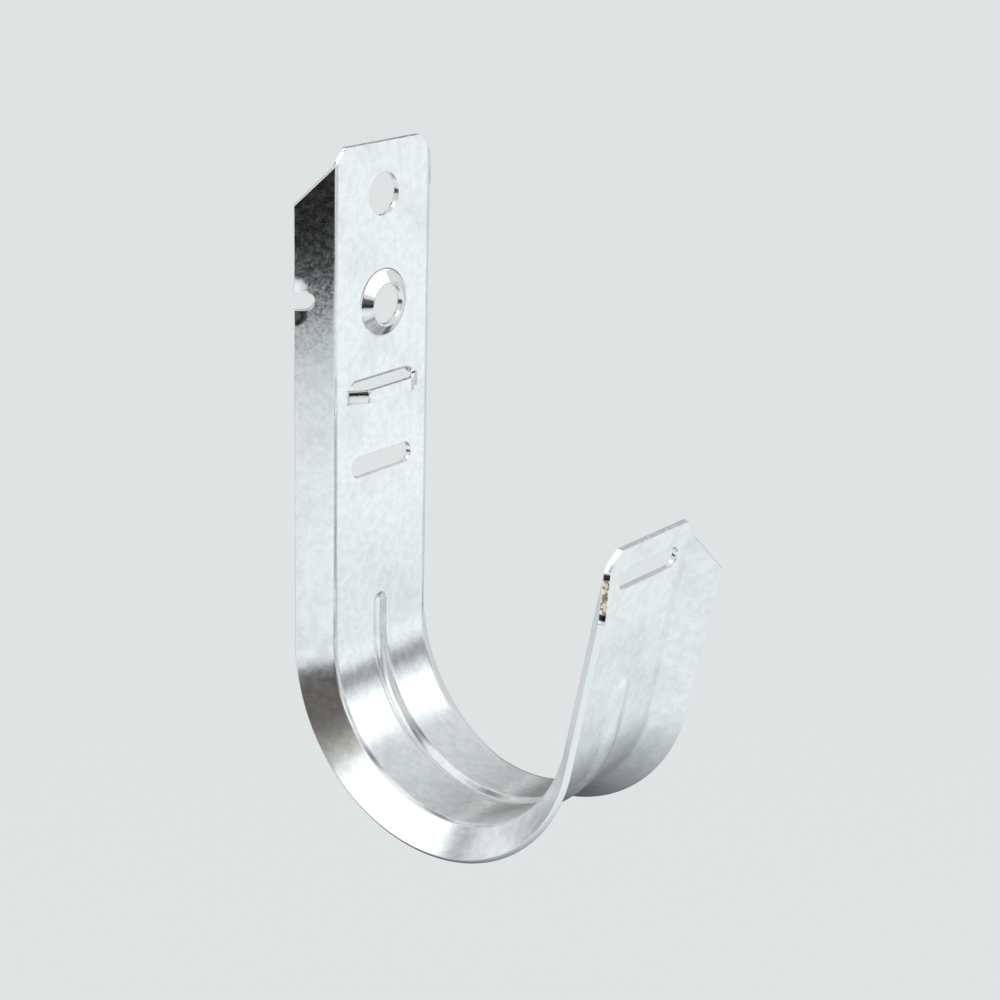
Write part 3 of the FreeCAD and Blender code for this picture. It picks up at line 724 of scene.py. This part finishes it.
def times(tree, factor, *tones):
    """Tones multiplied with each other and with a factor."""
    node = tree.nodes.new("ShaderNodeVectorMath")
    node.operation = "SCALE"
    feed(tree, node.inputs[0], tones[0])
    feed(tree, node.inputs["Scale"], factor)
    total = node.outputs["Vector"]
    for tone in tones[1:]:
        total = combine(tree, "MULTIPLY", total, tone)
    return total


def height_of(tree, place):
    """The height of a place, as a number."""
    split = tree.nodes.new("ShaderNodeSeparateXYZ")
    tree.links.new(place, split.inputs["Vector"])
    return split.outputs["Z"]


def noise(tree, place, scale, detail, roughness=0.5):
    """The outputs of a noise: Fac is a number, and Color three of them."""
    node = tree.nodes.new("ShaderNodeTexNoise")
    node.inputs["Scale"].default_value = scale
    node.inputs["Detail"].default_value = detail
    node.inputs["Roughness"].default_value = roughness
    tree.links.new(place, node.inputs["Vector"])
    return node.outputs


def tilts(tree, place, scale, detail):
    """Small tilts to all sides, for a normal."""
    return combine(tree, "SUBTRACT", noise(tree, place, scale, detail)["Color"], (0.5, 0.5, 0.5))


def spread(tree, value, low, high, to_low, to_high):
    """Takes a value softly from one range to another."""
    node = tree.nodes.new("ShaderNodeMapRange")
    node.interpolation_type = "SMOOTHSTEP"
    node.inputs["From Min"].default_value = low
    node.inputs["From Max"].default_value = high
    node.inputs["To Min"].default_value = to_low
    node.inputs["To Max"].default_value = to_high
    tree.links.new(value, node.inputs["Value"])
    return node.outputs["Result"]


def grey(tone):
    """A neutral tone, a little cool as the photograph's white is."""
    return (tone * 0.97, tone, tone * 1.01)


def ramp_along(tree, value, *stops):
    """Tones by stops of a value. A stop's tone is a number for a neutral one, or a colour."""
    low, high = stops[0][0], stops[-1][0]
    scale = tree.nodes.new("ShaderNodeMapRange")
    scale.inputs["From Min"].default_value = low
    scale.inputs["From Max"].default_value = high
    ramp = tree.nodes.new("ShaderNodeValToRGB")
    ramp.color_ramp.interpolation = "EASE"
    marks = ramp.color_ramp.elements
    while len(marks) < len(stops):
        marks.new(0.5)
    for mark, (at, tone) in zip(marks, stops):
        mark.position = (at - low) / (high - low)
        mark.color = (*(grey(tone) if isinstance(tone, float) else tone), 1)
    tree.links.new(value, scale.inputs["Value"])
    tree.links.new(scale.outputs["Result"], ramp.inputs["Fac"])
    return ramp.outputs["Color"]


def blend(tree, amount, none, full):
    """A colour between two fixed ones."""
    node = tree.nodes.new("ShaderNodeMix")
    node.data_type = "RGBA"
    tree.links.new(amount, node.inputs[0])
    node.inputs[6].default_value = (*none, 1)
    node.inputs[7].default_value = (*full, 1)
    return node.outputs[2]


def bare_metal(name):
    """A new metal: the material, its nodes, its shader and the place on the piece."""
    material = bpy.data.materials.new(name)
    tree = node_tree(material)
    place = tree.nodes.new("ShaderNodeTexCoord")
    output = tree.nodes.new("ShaderNodeOutputMaterial")
    shader = tree.nodes.new("ShaderNodeBsdfPrincipled")
    shader.inputs["Metallic"].default_value = 1
    tree.links.new(shader.outputs["BSDF"], output.inputs["Surface"])
    return material, tree, shader, place.outputs["Object"]


def zinc_plated_steel(look):
    """Bright zinc over pressed steel, with pale clouds, a fine grain and a soft shine."""
    material, tree, shader, place = bare_metal("bright_zinc")
    clouds = noise(tree, place, scale=620, detail=5, roughness=0.6)["Fac"]
    tint = blend(tree, spread(tree, clouds, 0.35, 0.62, 0, 1), look.dull, look.bright)
    smudges = noise(tree, place, scale=95, detail=2)["Fac"]
    kept = spread(tree, smudges, 0.30, 0.52, look.smudge, 1)
    tree.links.new(times(tree, kept, tint), shader.inputs["Base Color"])

    height = height_of(tree, place)
    strain = spread(tree, height, -0.086, -0.076, look.strain, 0)
    patches = noise(tree, place, scale=900, detail=4)["Fac"]
    shine = spread(tree, patches, 0.3, 0.7, look.shine, look.shine + 0.04)
    tree.links.new(calculate(tree, "ADD", shine, strain), shader.inputs["Roughness"])

    waves = tilts(tree, place, scale=380, detail=3)
    dents = times(tree, spread(tree, height, -0.086, -0.074, look.dents, 0), waves)
    surface = tree.nodes.new("ShaderNodeNewGeometry")
    bumpy = combine(tree, "ADD", dents, surface.outputs["Normal"])
    crystals = tilts(tree, place, scale=1900, detail=2)
    grain = (look.grain, look.grain, look.grain)
    tree.links.new(combine(tree, "MULTIPLY_ADD", crystals, grain, bumpy), shader.inputs["Normal"])
    return material


def cut_steel(look):
    """The sheared edges of the sheet: torn steel under a thin plating. The torn specks lie along the top
    edges, and along a stretch near the tip that carries a painted cream highlight with a painted dark
    reflection at each of its ends."""
    material, tree, shader, place = bare_metal("cut_zinc")
    shader.inputs["Roughness"].default_value = 0.22
    specks = noise(tree, place, scale=1500, detail=3)["Fac"]
    reach = combine(tree, "DISTANCE", place, TORN_AND_GLINT_PLACE)
    by_leg = ramp_along(tree, height_of(tree, place), (-0.0478, 1.0), (-0.0471, 0.78),
                        (-0.0300, 0.78), (-0.0250, 1.0), (0.0080, 1.0), (0.0086, 0.0))
    by_tear = ramp_along(tree, reach, (0.0038, 0.0), (0.0041, 1.0))
    clean = calculate(tree, "MINIMUM", by_leg, by_tear)
    plated = calculate(tree, "MAXIMUM", spread(tree, specks, 0.42, 0.56, 0, 1), clean)
    tint = blend(tree, plated, look.torn, look.bright)
    # Painted highlight: the stretch near the tip is tinted cream, with a painted dark reflection at each
    # end.
    glint_cream = (1.0, 0.93, 0.80)
    painted_glint_and_shade = ramp_along(tree, reach, (0.0, glint_cream), (0.0027, glint_cream), (0.0030, 0.05), (0.0037, 0.05),
                      (0.0040, 1.0))
    tree.links.new(combine(tree, "MULTIPLY", tint, painted_glint_and_shade), shader.inputs["Base Color"])
    return material


class HOOK_OT_form_strip(bpy.types.Operator):
    """Form the pressed steel strip in place of its plain solid"""
    bl_idname = "hook.form_strip"
    bl_label = "Form hook strip"

    def execute(self, context):
        strip = Strip(context.scene.hook_strip)
        pressings = context.scene.hook_pressings
        piece = lay_out_strip(strip, context.scene.hook_bead)
        cut_corners(piece, strip)
        round_folds(piece, strip)
        face_cables(piece)
        piece.data.materials.append(zinc_plated_steel(context.scene.hook_zinc))
        piece.data.materials.append(cut_steel(context.scene.hook_zinc))
        give_thickness(piece, strip)
        press_bead(piece, strip, context.scene.hook_bead)
        part_flats(piece, strip, context.scene.hook_bead, pressings)
        pierce(piece, strip, pressings)
        press_dimple(piece, strip, pressings)
        raise_bridge(piece, strip, pressings)
        round_cut_edges(piece, strip)
        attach(piece, "root")
        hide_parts("hook_strip")
        return {"FINISHED"}


def pale_floor(look):
    """A pale floor, lit like the rest, that the camera and the steel see mostly at its own colour."""
    material = bpy.data.materials.new("pale_floor")
    tree = node_tree(material)
    path = tree.nodes.new("ShaderNodeLightPath")
    output = tree.nodes.new("ShaderNodeOutputMaterial")
    matt = tree.nodes.new("ShaderNodeBsdfDiffuse")
    matt.inputs["Color"].default_value = (*look.floor, 1)
    seen = tree.nodes.new("ShaderNodeEmission")
    seen.inputs["Color"].default_value = (*look.floor, 1)
    seeing = calculate(tree, "MAXIMUM", path.outputs["Is Camera Ray"], path.outputs["Is Glossy Ray"])
    seeing = calculate(tree, "MAXIMUM", seeing, path.outputs["Is Transmission Ray"])
    mix = tree.nodes.new("ShaderNodeMixShader")
    tree.links.new(calculate(tree, "MULTIPLY", seeing, FLOOR_SEEN), mix.inputs["Fac"])
    tree.links.new(matt.outputs["BSDF"], mix.inputs[1])
    tree.links.new(seen.outputs["Emission"], mix.inputs[2])
    tree.links.new(mix.outputs["Shader"], output.inputs["Surface"])
    return material


def glow(name, paint):
    """A material that glows with the colour that a function makes from the place."""
    material = bpy.data.materials.new(name)
    tree = node_tree(material)
    place = tree.nodes.new("ShaderNodeTexCoord")
    light = tree.nodes.new("ShaderNodeEmission")
    output = tree.nodes.new("ShaderNodeOutputMaterial")
    tree.links.new(paint(tree, place.outputs["Object"]), light.inputs["Color"])
    tree.links.new(light.outputs["Emission"], output.inputs["Surface"])
    return material


def toward(azimuth, elevation):
    """The way that an azimuth from X towards Y and an elevation point, in degrees."""
    turn, rise = math.radians(azimuth), math.radians(elevation)
    return Vector((math.cos(turn) * math.cos(rise), math.sin(turn) * math.cos(rise), math.sin(rise)))


def facing(azimuth, elevation):
    """The turn of a card that stands that way from the hook and faces it."""
    return (0, math.radians(90 - elevation), math.radians(azimuth))


def aim(place, target):
    """The turn that points a lamp at a place."""
    return (target - place).to_track_quat("-Z", "Y").to_euler()


def lay_card(name, place, turn, size, paint):
    """A card that only reflections show, glowing as a function paints it."""
    bpy.ops.mesh.primitive_plane_add(size=1, location=place, rotation=turn)
    bpy.context.object.scale = (size[0], size[1], 1)
    card = settle(name)
    card.data.materials.append(glow(name + "_glow", paint))
    card.visible_camera = False
    card.visible_diffuse = False
    card.visible_transmission = False
    card.visible_shadow = False


def by_height(*stops):
    """Paints a card with tones by height."""
    return lambda tree, place: ramp_along(tree, height_of(tree, place), *stops)


def stand_card(name, azimuth, reach, height, size, *stops):
    """An upright card around the hook, painted by height. Its size is its height and its width."""
    place = reach * toward(azimuth, 0) + height * UP
    lay_card(name, place, facing(azimuth, 0), size, by_height(*stops))


def hang_card(name, azimuth, elevation, reach, size, paint):
    """A card that hangs over the hook and faces its middle. Its size is its height and its width."""
    place = MIDDLE + reach * toward(azimuth, elevation)
    lay_card(name, place, facing(azimuth, elevation), size, paint)


def hang_glow(name, azimuth, elevation, reach, size, heights, sides):
    """A soft glow that the steel mirrors in place of a lamp, toned by height and from side to side."""
    beside = toward(azimuth + 90, 0)

    def paint(tree, place):
        across = combine(tree, "DOT_PRODUCT", place, beside)
        return times(tree, LAMP_GLOW, by_height(*heights)(tree, place), ramp_along(tree, across, *sides))

    hang_card(name, azimuth, elevation, reach, size, paint)


def lay_table():
    """A table card that glows in front of the hook, seen only in reflections: painted shade dims it under
    the hook, and it is dim at its far edge.
    """
    away = toward(TABLE_TURN, 0)
    beside = toward(TABLE_TURN + 90, 0)
    behind = toward(139, 0)
    foot = (-0.03, 0.06, TABLE_HEIGHT)
    aside = (-0.03, 0.26, TABLE_HEIGHT)
    light = (1.02, 1.0, 0.99)

    def paint(tree, place):
        # Painted shade: the glow is darkest right under the hook and grows bright away from it.
        shade_under_hook = ramp_along(tree, combine(tree, "DISTANCE", place, foot),
                          (0.00, 0.07), (0.04, 0.15), (0.08, 0.28), (0.12, 0.46), (0.16, 0.66),
                          (0.20, 0.87), (0.25, 0.92), (0.34, 0.90), (0.44, 1.0))
        far = ramp_along(tree, combine(tree, "DOT_PRODUCT", place, away),
                         (-0.4, 1.0), (0.36, 0.96), (0.52, 0.86), (0.64, 0.72), (0.75, 0.45))
        rear = ramp_along(tree, combine(tree, "DOT_PRODUCT", place, behind),
                          (0.05, 1.0), (0.13, 0.88), (0.25, 0.74), (0.45, 0.66))
        # The glow is dimmer in a patch behind the hook.
        dim_patch = ramp_along(tree, combine(tree, "DISTANCE", place, aside), (0.00, (0.16, 0.17, 0.18)),
                          (0.07, (0.24, 0.25, 0.26)), (0.12, light), (0.30, light))
        return times(tree, TABLE_GLOW, shade_under_hook, far, rear, dim_patch)

    place = 0.18 * away + 0.60 * beside + TABLE_HEIGHT * UP
    lay_card("table", place, (0, 0, math.radians(TABLE_TURN)), (1.16, 1.9), paint)


def stand_cards():
    """Cards around the hook: dark ones, which give the bright steel its dark reflections, and pale
    ones and glows, which give it its light ones."""
    black, brown = (0.010, 0.010, 0.010), (0.110, 0.100, 0.092)
    stand_card("room", -54, 0.78, 0.18, (0.90, 1.0), (-0.40, black), (-0.14, black), (-0.09, brown),
               (0.20, brown), (0.32, 0.22), (0.62, 0.9))
    stand_card("low_room", -14, 0.80, -0.11, (0.32, 0.36),
               (-0.40, black), (-0.14, black), (-0.08, brown), (0.05, brown))
    stand_card("gap", 45.6, 1.65, -0.12, (0.36, 1.6), (-0.30, 0.25), (0.10, 0.25))
    stand_card("left", -128, 0.9, -0.26, (0.56, 0.7), (-0.60, brown), (-0.05, brown), (0.02, 0.3))
    lay_card("roof", Vector((0.1, 0.05, 1.2)), (0, 0, 0), (1.1, 1.1), by_height((1.0, 0.98), (1.4, 0.98)))
    hang_glow("side_light", 25, 24, 1.3, (0.95, 1.9),
              ((0.04, 0.40), (0.14, 0.55), (0.22, 0.80), (0.32, 1.0), (0.55, 1.0), (0.74, 0.92),
               (0.90, 0.56)),
              ((-1.0, 1.0), (0.60, 1.0), (0.95, 0.62)))
    hang_card("dusk", 14, 58, 0.9, (0.26, 0.62), by_height((0.4, 0.10), (0.9, 0.22)))
    hang_glow("top_light", -100, 54, 1.0, (0.60, 1.9),
              ((0.50, 0.40), (0.58, 0.60), (0.66, 0.85), (0.76, 1.0), (0.95, 1.0)),
              ((-0.95, 0.9), (0.0, 1.0), (0.70, 1.0), (0.95, 0.75)))
    hang_glow("sky", 95, 44, 1.4, (0.8, 1.3), ((0.4, 1.0), (1.4, 1.0)),
              ((-0.45, 0.49), (0.17, 0.44), (0.55, 0.37)))
    hang_glow("warm_lamp", -43, 31, 0.75, (0.17, 0.17),
              ((0.255, (0.15, 0.145, 0.14)), (0.295, (0.32, 0.29, 0.23)), (0.33, (0.44, 0.40, 0.31)),
               (0.365, (0.34, 0.31, 0.25)), (0.400, (0.22, 0.21, 0.20))),
              ((-0.07, 0.40), (-0.02, 0.85), (0.014, 1.0), (0.05, 0.85), (0.10, 0.40)))
    hang_card("nook", -168, 35, 0.95, (0.19, 0.30), by_height((0.3, 0.36), (0.9, 0.36)))
    stand_card("hall", 132, 1.5, 0.2, (1.4, 1.2), (-0.50, 0.18), (0.00, 0.24), (0.26, 0.32), (0.38, 0.66),
               (0.53, 0.74), (0.62, 0.42), (0.75, 0.42), (1.00, 0.56))


def add_lamp(name, azimuth, elevation, reach, size):
    """A soft box that lights all but what is mirrored."""
    data = bpy.data.lights.new(name, "AREA")
    data.shape = "RECTANGLE"
    data.size, data.size_y = size
    data.energy = LAMP_RADIANCE * math.pi * size[0] * size[1]
    place = MIDDLE + reach * toward(azimuth, elevation)
    lamp = bpy.data.objects.new(name, data)
    lamp.location = place
    lamp.rotation_euler = aim(place, MIDDLE)
    lamp.visible_glossy = False
    bpy.context.scene.collection.objects.link(lamp)


def light_world(look):
    """A plain pale world, as the floor is."""
    world = bpy.data.worlds.new("pale_room")
    bpy.context.scene.world = world
    world.use_nodes = True
    background = world.node_tree.nodes["Background"]
    background.inputs["Color"].default_value = (*look.floor, 1)


def add_camera(look):
    """The photograph's point of view."""
    forward = toward(CAMERA_AZIMUTH + 90, -CAMERA_DOWN)
    level = toward(CAMERA_AZIMUTH, 0)
    upright = level.cross(forward)
    roll = math.radians(CAMERA_ROLL)
    right = math.cos(roll) * level + math.sin(roll) * upright
    up = math.cos(roll) * upright - math.sin(roll) * level
    data = bpy.data.cameras.new("camera")
    data.lens = look.lens
    data.sensor_width = 36
    camera = bpy.data.objects.new("camera", data)
    turn = Matrix((right, up, -forward)).transposed().to_4x4()
    camera.matrix_world = Matrix.Translation(CAMERA_PLACE) @ turn
    bpy.context.scene.collection.objects.link(camera)
    bpy.context.scene.camera = camera


class HOOK_OT_set_stage(bpy.types.Operator):
    """Lay the pale floor and set up the cards, the lamps and the camera"""
    bl_idname = "hook.set_stage"
    bl_label = "Set stage"

    def execute(self, context):
        look = context.scene.hook_stage
        bpy.ops.mesh.primitive_plane_add(size=40, location=(0, 0, -look.floor_drop))
        floor = settle("floor")
        floor.data.materials.append(pale_floor(look))
        light_world(look)
        lay_table()
        stand_cards()
        add_lamp("side_box", 25, 24, 1.3, (1.6, 0.6))
        add_lamp("top_box", -100, 54, 1.0, (1.85, 0.44))
        add_camera(look)
        context.scene.view_settings.view_transform = "Standard"
        return {"FINISHED"}


# Each operator and the sizes and looks that it reads, as the panel lists them.
PANEL_PARTS = {
    "hook.form_strip": ("hook_strip", "hook_bead", "hook_pressings", "hook_zinc"),
    "hook.set_stage": ("hook_stage",),
}


class HOOK_PT_tools(bpy.types.Panel):
    """Buttons and sizes in the 3D view's sidebar"""
    bl_idname = "HOOK_PT_tools"
    bl_label = "J hook"
    bl_space_type = "VIEW_3D"
    bl_region_type = "UI"
    bl_category = "J hook"

    def draw(self, context):
        for operator, groups in PANEL_PARTS.items():
            box = self.layout.box()
            box.operator(operator)
            for group in groups:
                owner = getattr(context.scene, group)
                for name in owner.__annotations__:
                    box.prop(owner, name)


CLASSES = (StripSizes, BeadSizes, PressingSizes, ZincLook, StageLook,
           HOOK_OT_form_strip, HOOK_OT_set_stage, HOOK_PT_tools)
GROUPS = {
    "hook_strip": StripSizes,
    "hook_bead": BeadSizes,
    "hook_pressings": PressingSizes,
    "hook_zinc": ZincLook,
    "hook_stage": StageLook,
}


def register():
    for item in CLASSES:
        bpy.utils.register_class(item)
    for name, group in GROUPS.items():
        setattr(bpy.types.Scene, name, PointerProperty(type=group))


def unregister():
    for name in GROUPS:
        delattr(bpy.types.Scene, name)
    for item in reversed(CLASSES):
        bpy.utils.unregister_class(item)


def main():
    register()
    bpy.ops.hook.form_strip()
    bpy.ops.hook.set_stage()


if __name__ == "__main__":
    main()
